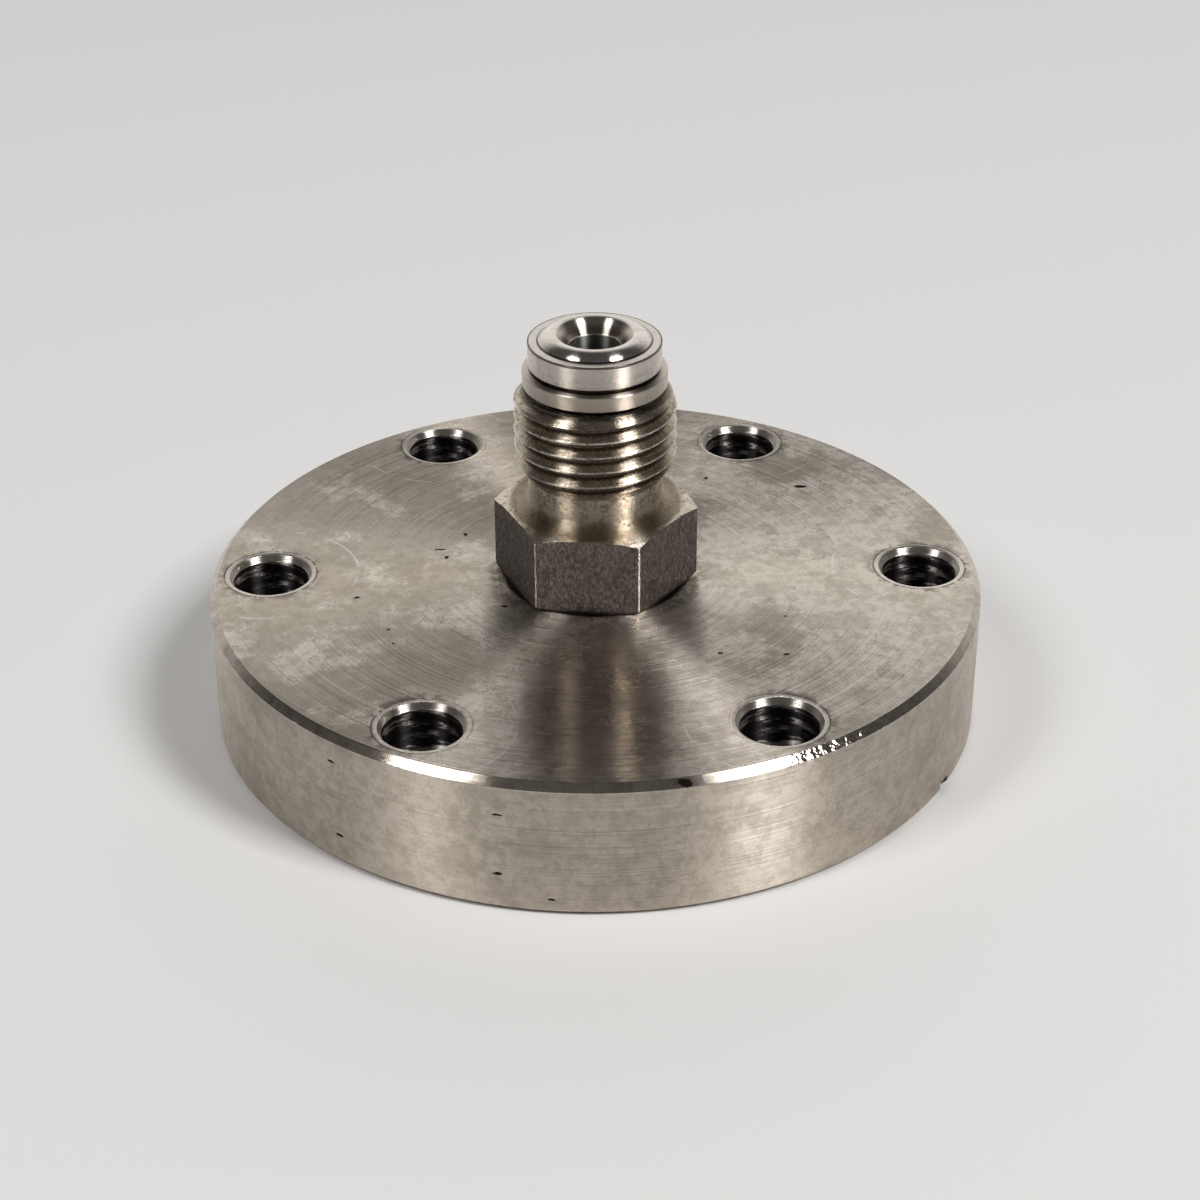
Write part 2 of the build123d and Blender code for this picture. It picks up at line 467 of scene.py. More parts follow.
def finish(tree, shader, outward, colour, rough, relief, depth, lean=0.0):
    """Links colour, roughness, a relief of some depth in metres, and the direction of the
    tool marks, which is level and square to the outward direction. The surface leans across
    the marks by a slope."""
    tree.links.new(colour, shader.inputs["Base Color"])
    tree.links.new(rough, shader.inputs["Roughness"])
    along = vector(tree, "CROSS_PRODUCT", {0: (0, 0, 1), 1: outward})
    # the marks turn with the piece, so their direction is taken from its space to the world's
    spaces = {"vector_type": "VECTOR", "convert_from": "OBJECT", "convert_to": "WORLD"}
    along = node(tree, "ShaderNodeVectorTransform", {0: along}, **spaces).outputs[0]
    tree.links.new(along, shader.inputs["Tangent"])
    straight = node(tree, "ShaderNodeNewGeometry").outputs["Normal"]
    across = vector(tree, "CROSS_PRODUCT", {0: along, 1: straight})
    leaning = vector(tree, "ADD", {0: straight, 1: vector(tree, "SCALE", {0: across, 3: lean})})
    leaning = vector(tree, "NORMALIZE", {0: leaning})
    bump = node(tree, "ShaderNodeBump", {"Height": relief, "Distance": depth, "Normal": leaning})
    tree.links.new(bump.outputs[0], shader.inputs["Normal"])


material, tree, shader, place, height, radius, outward = bare_metal("worn_turned_steel", 1.0)
x, y, _ = node(tree, "ShaderNodeSeparateXYZ", {0: place}).outputs
angle = calc(tree, "ARCTAN2", y, x)
# the nearest bolt hole: the angle is folded into one sector to find its axis
folded = calc(tree, "FLOORED_MODULO", calc(tree, "ADD", angle, pitch_angle / 2), pitch_angle)
hole_angle = calc(tree, "SUBTRACT", angle, calc(tree, "SUBTRACT", folded, pitch_angle / 2))
hole_x = times(tree, calc(tree, "COSINE", hole_angle), bolt_radius / mm)
hole_y = times(tree, calc(tree, "SINE", hole_angle), bolt_radius / mm)
hole_axis = node(tree, "ShaderNodeCombineXYZ", {0: hole_x, 1: hole_y}).outputs[0]
from_hole = vector(tree, "SUBTRACT", {0: place, 1: hole_axis})
from_hole = vector(tree, "MULTIPLY", {0: from_hole, 1: (1, 1, 0)})
hole_distance = length(tree, from_hole)
# sizes in millimetres, as the shader's place is
top, rim, recess = face_z / mm, rim_radius / mm, recess_radius / mm
sink, bore = countersink_radius / mm, hole_radius / mm
groove_half, groove_roof = groove_width / 2 / mm, groove_depth / mm
in_hole = fade(tree, hole_distance, sink + 0.02, sink - 0.02)
in_bore = fade(tree, hole_distance, bore + 0.03, bore + 0.01)
# tool marks run round the flange's axis, and round the hole's axis in a hole
outward = node(
    tree,
    "ShaderNodeMix",
    {0: in_hole, 4: outward, 5: vector(tree, "NORMALIZE", {0: from_hole})},
    data_type="VECTOR",
).outputs[1]
span = blend(tree, in_hole, radius, hole_distance)
marks = tool_marks(tree, outward, span, height, 7.0)
broad_marks = tool_marks(tree, outward, span, height, 2.0, 1.8)
# where on the flange: upper face, rim, upper edge break and leak-check grooves
on_face = fade(tree, height, top - 0.10, top - 0.03)
on_rim = times(
    tree, fade(tree, radius, rim - 0.5, rim - 0.4), fade(tree, height, top - 0.66, top - 0.74)
)
on_break = times(
    tree, fade(tree, radius, rim - 0.66, rim - 0.6), fade(tree, height, top - 0.68, top - 0.62)
)
groove_side = (0.5, math.sqrt(0.75), 0)
off_groove = node(
    tree, "ShaderNodeVectorMath", {0: place, 1: groove_side}, operation="DOT_PRODUCT"
).outputs[1]
painted_groove_shade = times(
    tree,
    band(tree, off_groove, 0, groove_half + 0.04, groove_half - 0.01),
    fade(tree, height, groove_roof + 0.03, groove_roof - 0.02),
    fade(tree, radius, recess - 0.02, recess + 0.02),
)
# stains: a thin brown film with ragged edges, mostly towards one side, and fine mottling
mottle = noise(tree, place, 1.0, 5, 0.68)
film_edge = noise(tree, place, 0.11, 7, 0.68)
film_edge = calc(tree, "MULTIPLY_ADD", calc(tree, "SUBTRACT", y, x), 0.0022, film_edge)
film = fade(tree, film_edge, 0.475, 0.535)
tide = band(tree, film_edge, 0.485, 0.009, 0.001)
elsewhere = vector(tree, "ADD", {0: place, 1: (31, 7, 0)})
clouded = fade(tree, noise(tree, elsewhere, 0.26, 6, 0.74), 0.48, 0.58)
speckle = noise(tree, place, 4.0, 2, 0.6)
# rings that washers and bolt heads have left, and grime round the holes and the nut
broken = noise(tree, place, 0.3, 2)
worn_ring = times(tree, fade(tree, hole_distance, 4.12, 4.02), on_face)
ring_line = band(tree, hole_distance, 4.16, 0.13, 0.04)
ring_line = times(tree, ring_line, fade(tree, mottle, 0.36, 0.50))
head_ring = band(tree, hole_distance, 7.9, 0.16, 0.05)
head_ring = times(tree, head_ring, fade(tree, broken, 0.50, 0.56))
round_hole = times(
    tree, fade(tree, hole_distance, 5.1, 4.2), fade(tree, hole_distance, 4.0, 4.12)
)
hole_grime = times(tree, round_hole, fade(tree, mottle, 0.44, 0.60), 0.6)
nut_grime = times(tree, fade(tree, radius, 10.6, 8.8), fade(tree, mottle, 0.44, 0.58), 0.75)
# painted shadow: a ragged near-black band on the face round the nut's foot, under its chamfered
# hexagon
painted_nut_shadow = fade(tree, calc(tree, "MULTIPLY_ADD", mottle, 0.5, radius), 8.85, 8.45)
grime = calc(tree, "MAXIMUM", calc(tree, "MAXIMUM", hole_grime, nut_grime), ring_line)
grime = times(tree, grime, on_face)
# scratches: thin contour lines of a slow noise, broken up, pale or dark
hair = calc(tree, "ABSOLUTE", calc(tree, "SUBTRACT", noise(tree, place, 0.12, 2, 0.4), 0.5))
scratch = times(tree, fade(tree, hair, 0.0016, 0.0004), fade(tree, broken, 0.56, 0.62))
scratch = times(tree, calc(tree, "MAXIMUM", scratch, head_ring), on_face)
score = times(tree, fade(tree, hair, 0.0018, 0.0005), fade(tree, broken, 0.40, 0.34))
# pits full of dirt, on the face and in the rim's dents, with uneven edges
degrees = calc(tree, "DEGREES", angle)
uneven = calc(tree, "SUBTRACT", speckle, 0.5)
ragged_x = calc(tree, "MULTIPLY_ADD", uneven, 0.5, x)
ragged_y = calc(tree, "MULTIPLY_ADD", uneven, 0.4, y)
ragged_angle = calc(tree, "MULTIPLY_ADD", uneven, 0.9, degrees)
face_pits = spots(tree, ragged_x, ragged_y, [
    (-21.3, -4.4, 0.30, 0.22), (-12.0, 7.0, 0.2, 0.35), (-14.2, 4.2, 0.6, 0.14),
    (-13.6, 2.7, 0.2, 0.3), (-8.2, -6.3, 0.32, 0.2), (-18.2, -10.0, 0.16, 0.16),
    (-17.7, -12.4, 0.16, 0.16), (19.9, 15.8, 0.7, 0.3), (10.9, 17.7, 0.22, 0.25),
    (16.1, -15.0, 0.3, 0.16), (10.4, -14.7, 0.3, 0.16), (16.5, -8.6, 0.2, 0.14),
    (6.5, -33.75, 0.75, 0.32),
])
rim_pits = spots(tree, ragged_angle, height, [
    (turn, up, width * 2, tall * 0.95) for turn, up, width, tall, _ in dirty_dents
])
pit_dirt_and_nut_shadow = calc(
    tree,
    "MAXIMUM",
    times(tree, face_pits, calc(tree, "MAXIMUM", on_face, on_break)),
    times(tree, rim_pits, on_rim),
)
# with the painted shadow round the nut's foot
pit_dirt_and_nut_shadow = calc(tree, "MAXIMUM", pit_dirt_and_nut_shadow, times(tree, painted_nut_shadow, on_face))
# where the upper edge has been knocked about, as an angle from its middle
knocked = band(tree, degrees, -56.5, 9.0, 7.0)
knocks = times(tree, knocked, on_break, noise(tree, place, 2.4, 1))

steel = tint(tree, fade(tree, marks, 0.25, 0.75), (0.655, 0.590, 0.512), (0.700, 0.633, 0.556))
steel = coat(tree, steel, (0.41, 0.36, 0.30), 0.46, fade(tree, mottle, 0.44, 0.60))
steel = coat(tree, steel, (0.44, 0.39, 0.33), 0.25, fade(tree, speckle, 0.5, 0.75))
steel = coat(tree, steel, (0.33, 0.28, 0.22), 0.52, film, on_face)
steel = coat(tree, steel, (0.20, 0.17, 0.13), 0.50, tide, on_face)
steel = coat(tree, steel, (0.32, 0.275, 0.22), 0.34, clouded)
# painted reflection: the rim is tinted warmer for the warm table it reflects
steel = coat(tree, steel, (0.50, 0.42, 0.335), 0.2, on_rim)
steel = coat(tree, steel, (0.13, 0.105, 0.08), 0.8, grime)
steel = coat(tree, steel, (0.72, 0.665, 0.595), 0.45, worn_ring)
steel = coat(tree, steel, (0.85, 0.81, 0.75), 0.45, scratch)
steel = coat(tree, steel, (0.16, 0.13, 0.10), 0.7, score, on_face)
# the countersinks are painted paler, a painted sheen for their bright reflection, and the drilled
# bores are painted near-black, painted shade down the holes, with brighter torn rings
torn = fade(tree, broad_marks, 0.50, 0.68)
bore_shade_and_torn_rings = tint(tree, torn, (0.045, 0.040, 0.040), (0.42, 0.39, 0.37))
steel = coat(tree, steel, (0.80, 0.76, 0.70), 0.6, in_hole)
steel = tint(tree, in_bore, steel, bore_shade_and_torn_rings)
# painted shade: the leak-check grooves are painted near-black
steel = coat(tree, steel, (0.03, 0.025, 0.02), 0.93, painted_groove_shade)
# pits of dirt and the painted shadow round the nut go near-black
steel = tint(tree, pit_dirt_and_nut_shadow, steel, (0.02, 0.016, 0.012))
rough = blend(tree, fade(tree, marks, 0.3, 0.7), 0.23, 0.28)
rough = calc(tree, "MULTIPLY_ADD", film, 0.04, rough)
rough = calc(tree, "MULTIPLY_ADD", grime, 0.2, rough)
rough = calc(tree, "MULTIPLY_ADD", on_rim, 0.10, rough)
rough = blend(tree, on_break, rough, 0.20)
rough = blend(tree, in_hole, rough, 0.30)
rough = blend(tree, in_bore, rough, 0.40)
rough = calc(tree, "MAXIMUM", rough, times(tree, pit_dirt_and_nut_shadow, 0.7))
relief = calc(tree, "MULTIPLY_ADD", broad_marks, blend(tree, in_bore, 1.0, 8.0), marks)
relief = calc(tree, "MULTIPLY_ADD", knocks, 17.0, relief)
off_break = calc(tree, "SUBTRACT", 1.0, on_break)
lean = groove_lean(tree, span, height, 60.0, times(tree, off_break, 0.2))
torn_lean = times(tree, calc(tree, "SUBTRACT", broad_marks, 0.5), 3.0)
lean = blend(tree, in_bore, lean, torn_lean)
finish(tree, shader, outward, steel, rough, relief, 4e-6, lean)
flange.data.materials.append(material)
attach(flange, "flange_body")
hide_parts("flange")

# === Weld bead =========================================================================
# A ring of stainless weld metal across the joint between the gland's stub and the flange's
# lip, run by hand on the vacuum side, so it has fine ripples and a faint heat tint.

bead_joint = (stub_radius + stub_bore) / 2
bead_reach = 0.55 * mm
bead_height = 0.35 * mm
ripple_count = 36
turn = np.linspace(0, 2 * math.pi, 8 * ripple_count + 1)
across = np.linspace(0, math.pi, 15)[:, None]
# each ripple dips by up to 0.12 of the height, and curves back along the run
ripple = 1 - 0.12 * (0.5 + 0.5 * np.cos(ripple_count * turn + 1.5 * np.sin(across) ** 2))
bead_radius = bead_joint - bead_reach * np.cos(across)
bead_z = floor_z - bead_height * np.sin(across) * ripple
# the ring's underside, then its flat top on stub and lip
crown = np.stack([bead_radius * np.cos(turn), bead_radius * np.sin(turn), bead_z], -1)
flat_run = np.array([(bead_joint + bead_reach, floor_z), (bead_joint - bead_reach, floor_z)])
flat = lathe(flat_run, turn)
weld_bead = weld("weld_bead_ring", [crown[::-1], flat[::-1]])
material, tree, shader, place, height, radius, outward = bare_metal("heat_tinted_weld", 0.0)
cloud = noise(tree, place, 0.8, 3)
bands = noise(tree, place, 6.0, 2)
colour = tint(tree, cloud, (0.60, 0.54, 0.44), (0.44, 0.37, 0.34))
finish(tree, shader, outward, colour, blend(tree, bands, 0.24, 0.38), bands, 1e-5)
weld_bead.data.materials.append(material)
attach(weld_bead, "flange_body")
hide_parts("weld_bead")

# === Gland =============================================================================
# One piece turned from stainless bar and polished at its head, then welded into the flange:
# stub, hub, and a head with two lands, a groove between them and the raised seal bead round
# the mouth of the bore.

_, gland_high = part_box("gland")
bore_radius = mounts["gland_bore"]["dims"]["r_mm"] * mm
hub_radius = 4.75 * mm
lower_land = gland_high.x
upper_land = lower_land - 0.5 * mm
land_groove = lower_land - 1.05 * mm
crest_z = gland_high.z - 0.001 * mm
head_face = crest_z - 0.68 * mm
groove_top = head_face - 2.1 * mm
groove_bottom = groove_top - 0.46 * mm
head_z = groove_bottom - 1.4 * mm
seal_foot, seal_shoulder = 4.975 * mm, 4.7 * mm
seal_crest, seal_lip = 3.75 * mm, 3.38 * mm
shoulder_z, lip_z = head_face + 0.295 * mm, head_face + 0.63 * mm
mouth_z = head_face - 0.55 * mm
mouth_bulge = 0.06 * mm

body_run = outline(
    [
        (bore_radius, mouth_z),
        (bore_radius, floor_z),
        (stub_radius, floor_z),
        (stub_radius, face_z),
        (hub_radius, face_z),
        (hub_radius, head_z),
        (lower_land, head_z),
        (lower_land, groove_bottom),
        (land_groove, groove_bottom),
        (land_groove, groove_top),
        (upper_land, groove_top),
        (upper_land, head_face),
        (seal_foot, head_face),
        (seal_shoulder, shoulder_z),
    ],
    [0.04 * mm, 0.04 * mm, 0.04 * mm, 0.02 * mm, 0.02 * mm, 0.15 * mm, 0.2 * mm, 0.05 * mm,
     0.05 * mm, 0.05 * mm, 0.05 * mm, 0.2 * mm, 0.03 * mm],
    longest=3 * mm,
)


def circle_through(first, middle, last, count):
    """Points on the circle through three points, from the first to the last: the centre
    solves two equations of equal distance, and the angle runs evenly past the middle."""
    first, middle, last = (np.array(point) for point in (first, middle, last))
    sides = 2 * np.array([middle - first, last - first])
    squares = np.array([middle @ middle - first @ first, last @ last - first @ first])
    centre = np.linalg.solve(sides, squares)
    start, through, end = (
        math.atan2(*(point - centre)[::-1]) for point in (first, middle, last)
    )
    through, end = (start + (a - start) % (2 * math.pi) for a in (through, end))
    if through > end:
        end -= 2 * math.pi
    swing = np.linspace(start, end, count)
    size = np.linalg.norm(first - centre)
    return centre + size * np.stack([np.cos(swing), np.sin(swing)], -1)


seal_run = circle_through(
    (seal_shoulder, shoulder_z), (seal_crest, crest_z), (seal_lip, lip_z), 25
)
mouth_fall = np.array([bore_radius - seal_lip, mouth_z - lip_z])
mouth_side = np.array([mouth_fall[1], -mouth_fall[0]]) / np.linalg.norm(mouth_fall)
mouth_middle = np.array([seal_lip, lip_z]) + mouth_fall / 2 + mouth_side * mouth_bulge
mouth_run = circle_through((seal_lip, lip_z), mouth_middle, (bore_radius, mouth_z), 17)
gland_run = np.concatenate([body_run, seal_run[1:], mouth_run[1:]])
gland_turn = np.linspace(0, 2 * math.pi, 257)
gland = weld("gland_body", [lathe(gland_run[::-1], gland_turn)], crease=19)
material, tree, shader, place, height, radius, outward = bare_metal("polished_steel", 1.0)
marks = tool_marks(tree, outward, radius, height, 9.0)
cloud = noise(tree, place, 1.1, 5, 0.66)
speckle = noise(tree, place, 3.4, 3, 0.6)
# sizes in millimetres, as the shader's place is
face, mouth, bore = head_face / mm, mouth_z / mm, bore_radius / mm
land, foot, lip = upper_land / mm, seal_foot / mm, seal_lip / mm
groove_low, groove_high = groove_bottom / mm, groove_top / mm
groove_edge = land_groove / mm + 0.36
# the lands are ground and the head above them is polished bright
ground = times(
    tree, fade(tree, height, face - 0.19, face - 0.21), fade(tree, radius, land - 0.3, land - 0.2)
)
on_head = fade(tree, height, face - 0.2, face - 0.15)
# painted shade in the groove, painted dark lines round the step's two edges (painted shade in the
# crease at the seal bead's foot, a painted dark reflection along the land's edge), and dirt on
# the step and on the lands
painted_groove_shade = times(
    tree,
    fade(tree, radius, groove_edge + 0.14, groove_edge),
    fade(tree, height, groove_high + 0.02, groove_high - 0.02),
    fade(tree, height, groove_low - 0.05, groove_low - 0.01),
)
painted_foot_shade = band(tree, radius, foot, 0.12, 0.06)
ragged = calc(tree, "MULTIPLY_ADD", speckle, 0.16, radius)
painted_edge_reflection = fade(tree, ragged, land - 0.10, land - 0.04)
lines = times(tree, calc(tree, "MAXIMUM", painted_foot_shade, painted_edge_reflection), on_head)
step = times(tree, fade(tree, radius, foot - 0.02, foot + 0.02), on_head)
ragged = calc(tree, "MULTIPLY_ADD", cloud, 1.6, height)
stain = times(tree, fade(tree, ragged, groove_high + 1.25, groove_high + 0.75), ground)
# painted shade and light: the mouth is painted darker low down, a painted highlight runs round
# the bore's edge, and the bore below it is dull and painted dark, darker still with depth
in_mouth = times(
    tree,
    fade(tree, radius, lip + 0.02, lip - 0.12),
    fade(tree, height, mouth - 0.02, mouth + 0.02),
)
painted_mouth_shade = times(tree, in_mouth, fade(tree, height, face + 0.35, face - 0.15))
painted_edge_highlight = fade(tree, radius, bore + 0.14, bore + 0.09)
painted_edge_highlight = times(tree, painted_edge_highlight, band(tree, height, mouth, 0.10, 0.05))
inside = fade(tree, radius, bore + 0.03, bore + 0.01)
painted_deep_shade = times(tree, inside, fade(tree, height, mouth - 0.2, mouth - 2.2))
steel = tint(tree, marks, (0.72, 0.67, 0.61), (0.80, 0.75, 0.69))
steel = coat(tree, steel, (0.46, 0.40, 0.33), 0.4, fade(tree, cloud, 0.48, 0.66))
steel = coat(tree, steel, (0.24, 0.19, 0.15), 0.5, fade(tree, speckle, 0.60, 0.72))
steel = coat(tree, steel, (0.50, 0.46, 0.41), 0.45, step)
steel = coat(tree, steel, (0.34, 0.26, 0.18), 0.38, stain)
steel = coat(tree, steel, (0.40, 0.33, 0.25), 0.45, in_mouth)
# painted shade low in the mouth
steel = coat(tree, steel, (0.13, 0.10, 0.075), 0.75, painted_mouth_shade)
# painted shade in the groove and painted dark lines at the step's edges
steel = coat(tree, steel, (0.07, 0.05, 0.04), 0.88, calc(tree, "MAXIMUM", painted_groove_shade, lines))
# painted shade in the bore, darker still with depth, then the painted highlight round its edge
steel = coat(tree, steel, (0.13, 0.137, 0.128), 0.88, inside)
steel = coat(tree, steel, (0.05, 0.05, 0.047), 0.85, painted_deep_shade)
steel = coat(tree, steel, (0.80, 0.77, 0.72), 0.8, painted_edge_highlight)
rough = blend(tree, ground, blend(tree, marks, 0.11, 0.18), blend(tree, marks, 0.29, 0.34))
rough = calc(tree, "MULTIPLY_ADD", in_mouth, 0.1, rough)
rough = blend(tree, inside, rough, 0.5)
lean = groove_lean(tree, radius, height, 60.0, times(tree, ground, 0.14))
finish(tree, shader, outward, steel, rough, marks, 1.5e-6, lean)
gland.data.materials.append(material)
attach(gland, "flange_body")
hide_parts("gland")

# === Male nut ==========================================================================
# A captive nut turned from drawn stainless hexagon bar, loose on the gland. Its thread is
# cut in one helix, right-handed, and runs out in the plain neck above the hexagon.

nut_low, nut_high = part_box("male_nut")
nut_z, nut_top = nut_low.z, nut_high.z
flat_radius = 7.9375 * mm
corner_radius = 9.1 * mm
chamfer_start = 8.2 * mm
hex_top = nut_z + 7.15 * mm
hex_turn = math.radians(23.6)
chamfer_slope = math.tan(math.radians(22))
flare_radius, neck_radius = 7.6 * mm, 6.0 * mm
neck_z, thread_z = nut_z + 8.3 * mm, nut_z + 10.35 * mm
thread_radius = mounts["threaded_nose"]["dims"]["r_mm"] * mm
thread_pitch = 25.4 / 18 * mm
thread_depth = 0.6134 * thread_pitch
thread_shift = 0.26 * mm
nut_bore = hub_radius + 0.2 * mm
mouth_radius = 5.8 * mm
mouth_depth = 0.5 * mm
neck_step = 0.15 * mm
nose_chamfer = 0.85 * mm

# angles round the hexagon: each flat is divided, close to its corners most finely, and
# the narrow land that the bar's corner is turned to lies between two flats
land_half = math.pi / 6 - math.acos(flat_radius / corner_radius)
flat_half = math.pi / 6 - land_half
flat_share = np.array([-1, -0.985, -0.95, -0.85, -0.7, -0.5, -0.25, 0, 0.25, 0.5, 0.7, 0.85,
                       0.95, 0.985, 1])
flat_angles = flat_share * flat_half
land_angles = math.pi / 6 + np.linspace(-land_half, land_half, 5)[1:-1]
one_side = np.concatenate([flat_angles, land_angles])
hex_angles = np.concatenate([one_side + side * math.pi / 3 for side in range(6)])
hex_angles = np.append(hex_angles, hex_angles[0] + 2 * math.pi)
from_flat = (hex_angles + math.pi / 6) % (math.pi / 3) - math.pi / 6
hex_edge = np.minimum(flat_radius / np.cos(from_flat), corner_radius)
hex_angles = hex_angles + hex_turn


def hex_rows(radius, height):
    """Rows of points round the hexagon: radius and height may change with the angle."""
    radius, height, angles = np.broadcast_arrays(radius, height, hex_angles)
    return np.stack([radius * np.cos(angles), radius * np.sin(angles), height], -1)


def chamfer_drop(radius):
    """How far the chamfer cone lies below the end face at a radius."""
    return np.maximum(radius - chamfer_start, 0) * chamfer_slope


edge_drop = chamfer_drop(hex_edge)
top_share = np.array([0, 0.5, 0.9, 1])[:, None]
top_radius = flare_radius + (hex_edge - flare_radius) * top_share
top_rows = hex_rows(top_radius, hex_top - chamfer_drop(top_radius))
wall_share = np.array([0, 0.012, 0.04, 0.2, 0.4, 0.6, 0.8, 0.96, 0.988, 1])[:, None]
wall_top, wall_bottom = hex_top - edge_drop, nut_z + edge_drop
wall_rows = hex_rows(hex_edge + 0 * wall_share, wall_top + (wall_bottom - wall_top) * wall_share)
bottom_share = np.array([0, 0.3, 0.65, 1])[:, None]
bottom_radius = hex_edge + (nut_bore - hex_edge) * bottom_share
bottom_rows = hex_rows(bottom_radius, nut_z + chamfer_drop(bottom_radius))
flare_turn = np.linspace(0, math.pi / 2, 10)[:, None]
flare_rows = hex_rows(
    flare_radius - (flare_radius - neck_radius) * np.sin(flare_turn),
    neck_z - (neck_z - hex_top) * np.cos(flare_turn),
)

nose_turn = np.linspace(0, 2 * math.pi, 193)
nose_z = np.linspace(thread_z, nut_top, 281)[:, None]
phase = ((nose_z + thread_shift) / thread_pitch - nose_turn / (2 * math.pi)) % 1
# 0 at the root and 1 at the crest, each with a flat and a straight flank between
from_root = np.abs(phase - 0.5) * 2
ridge = np.clip((from_root - 0.12) / 0.78, 0, 1)
thread_shape = thread_radius - thread_depth * (1 - ridge)
run_out = neck_radius + neck_step + (nose_z - thread_z) * 0.66
lead_in = thread_radius - nose_chamfer + (nut_top - nose_z)
nose_radius = np.minimum(np.minimum(thread_shape, run_out), lead_in)
nose_rows = np.stack(
    [nose_radius * np.cos(nose_turn), nose_radius * np.sin(nose_turn), nose_z + 0 * nose_turn],
    -1,
)
neck_run = outline(
    [(neck_radius, neck_z), (neck_radius, thread_z), (neck_radius + neck_step, thread_z)],
    [0.0],
    longest=0.5 * mm,
)
end_run = outline(
    [(thread_radius - nose_chamfer, nut_top), (mouth_radius, nut_top),
     (nut_bore, nut_top - mouth_depth), (nut_bore, nut_z)],
    [0.08 * mm, 0.08 * mm],
    longest=3 * mm,
)
nut = weld(
    "male_nut_body",
    [
        wall_rows,
        top_rows,
        bottom_rows,
        flare_rows[::-1],
        lathe(neck_run[::-1], nose_turn),
        nose_rows[::-1],
        lathe(end_run[::-1], nose_turn),
    ],
)
# turned metal: end faces, flare, neck, thread and bore
material, tree, shader, place, height, radius, outward = bare_metal("brown_turned_steel", 1.0)
marks = tool_marks(tree, outward, radius, height, 6.0)
mottle = noise(tree, place, 1.0, 5, 0.68)
speckle = noise(tree, place, 3.0, 3, 0.66)
streak = tool_marks(tree, outward, radius, height, 2.4, 2.6)
# sizes in millimetres, as the shader's place is
thread_foot, neck_foot, shoulder = thread_z / mm, neck_z / mm, hex_top / mm
flare = flare_radius / mm
# where: thread, with its flanks, the roots painted in shade and the crests painted with a
# highlight, and the stained foot of the flare
on_thread = fade(tree, height, thread_foot + 0.3, thread_foot + 0.9)
below_crest = calc(tree, "MULTIPLY_ADD", speckle, 0.10, radius)
below_crest = calc(tree, "SUBTRACT", thread_radius / mm, below_crest)
flank = times(tree, fade(tree, below_crest, 0.02, 0.10), on_thread)
painted_root_shade = times(tree, fade(tree, below_crest, 0.42, 0.70), on_thread)
painted_crest_highlight = times(tree, fade(tree, below_crest, 0.04, -0.04), on_thread)
ragged = calc(tree, "MULTIPLY_ADD", mottle, 1.4, radius)
ragged = calc(tree, "MULTIPLY_ADD", speckle, 0.9, ragged)
flared = times(
    tree,
    fade(tree, height, neck_foot + 0.5, shoulder + 0.3),
    fade(tree, ragged, flare + 1.45, flare + 0.95),
)
dirty = times(tree, fade(tree, speckle, 0.50, 0.60), fade(tree, mottle, 0.44, 0.54))
steel = tint(tree, marks, (0.58, 0.51, 0.42), (0.72, 0.65, 0.55))
steel = coat(tree, steel, (0.36, 0.29, 0.20), 0.55, fade(tree, mottle, 0.44, 0.64))
steel = coat(tree, steel, (0.25, 0.19, 0.12), 0.8, flared)
# the flanks are painted darker bronze, partly the nut's own tone and partly painted shade where
# they face up into the dark room
streaked = fade(tree, streak, 0.40, 0.66)
flank_tone_and_shade = tint(tree, streaked, (0.54, 0.46, 0.36), (0.22, 0.175, 0.125))
steel = coat(tree, steel, flank_tone_and_shade, 0.75, flank)
# painted shade in the roots and a painted highlight along the crests
steel = coat(tree, steel, (0.07, 0.055, 0.04), 0.8, painted_root_shade)
steel = coat(tree, steel, (0.86, 0.80, 0.72), 0.7, painted_crest_highlight)
steel = coat(tree, steel, (0.16, 0.125, 0.09), 0.5, dirty)
rough = blend(tree, marks, 0.23, 0.29)
rough = calc(tree, "MULTIPLY_ADD", flared, 0.14, rough)
rough = calc(tree, "MULTIPLY_ADD", dirty, 0.2, rough)
grit = calc(tree, "MULTIPLY_ADD", on_thread, -0.7, 1.0)
relief = calc(tree, "MULTIPLY_ADD", speckle, grit, marks)
relief = calc(tree, "MULTIPLY_ADD", times(tree, streak, on_thread), 3.0, relief)
lean = groove_lean(tree, radius, height, 60.0, 0.15)
finish(tree, shader, outward, steel, rough, relief, 8e-6, lean)
nut.data.materials.append(material)
# flats of the drawn bar: dark, with a fine upright grain, worn bright corners, and a painted
# shadow along their foot
material, tree, shader, place, height, radius, outward = bare_metal("dark_drawn_steel", 0.0)
upright = vector(tree, "MULTIPLY", {0: place, 1: (1, 1, 0.55)})
grain = noise(tree, upright, 4.2, 4, 0.72)
mottle = noise(tree, place, 0.8, 5, 0.66)
coarse = noise(tree, place, 2.0, 3, 0.6)
# the worn line along each corner: the angle is folded to find the nearest corner
x, y, _ = node(tree, "ShaderNodeSeparateXYZ", {0: place}).outputs
angle = calc(tree, "SUBTRACT", calc(tree, "ARCTAN2", y, x), hex_turn)
folded = calc(tree, "FLOORED_MODULO", angle, math.pi / 3)
from_corner = calc(tree, "ABSOLUTE", calc(tree, "SUBTRACT", folded, math.pi / 6))
ragged = times(tree, coarse, 0.22)
from_corner = calc(tree, "MULTIPLY_ADD", from_corner, corner_radius / mm, ragged)
worn = fade(tree, from_corner, 0.22, 0.15)
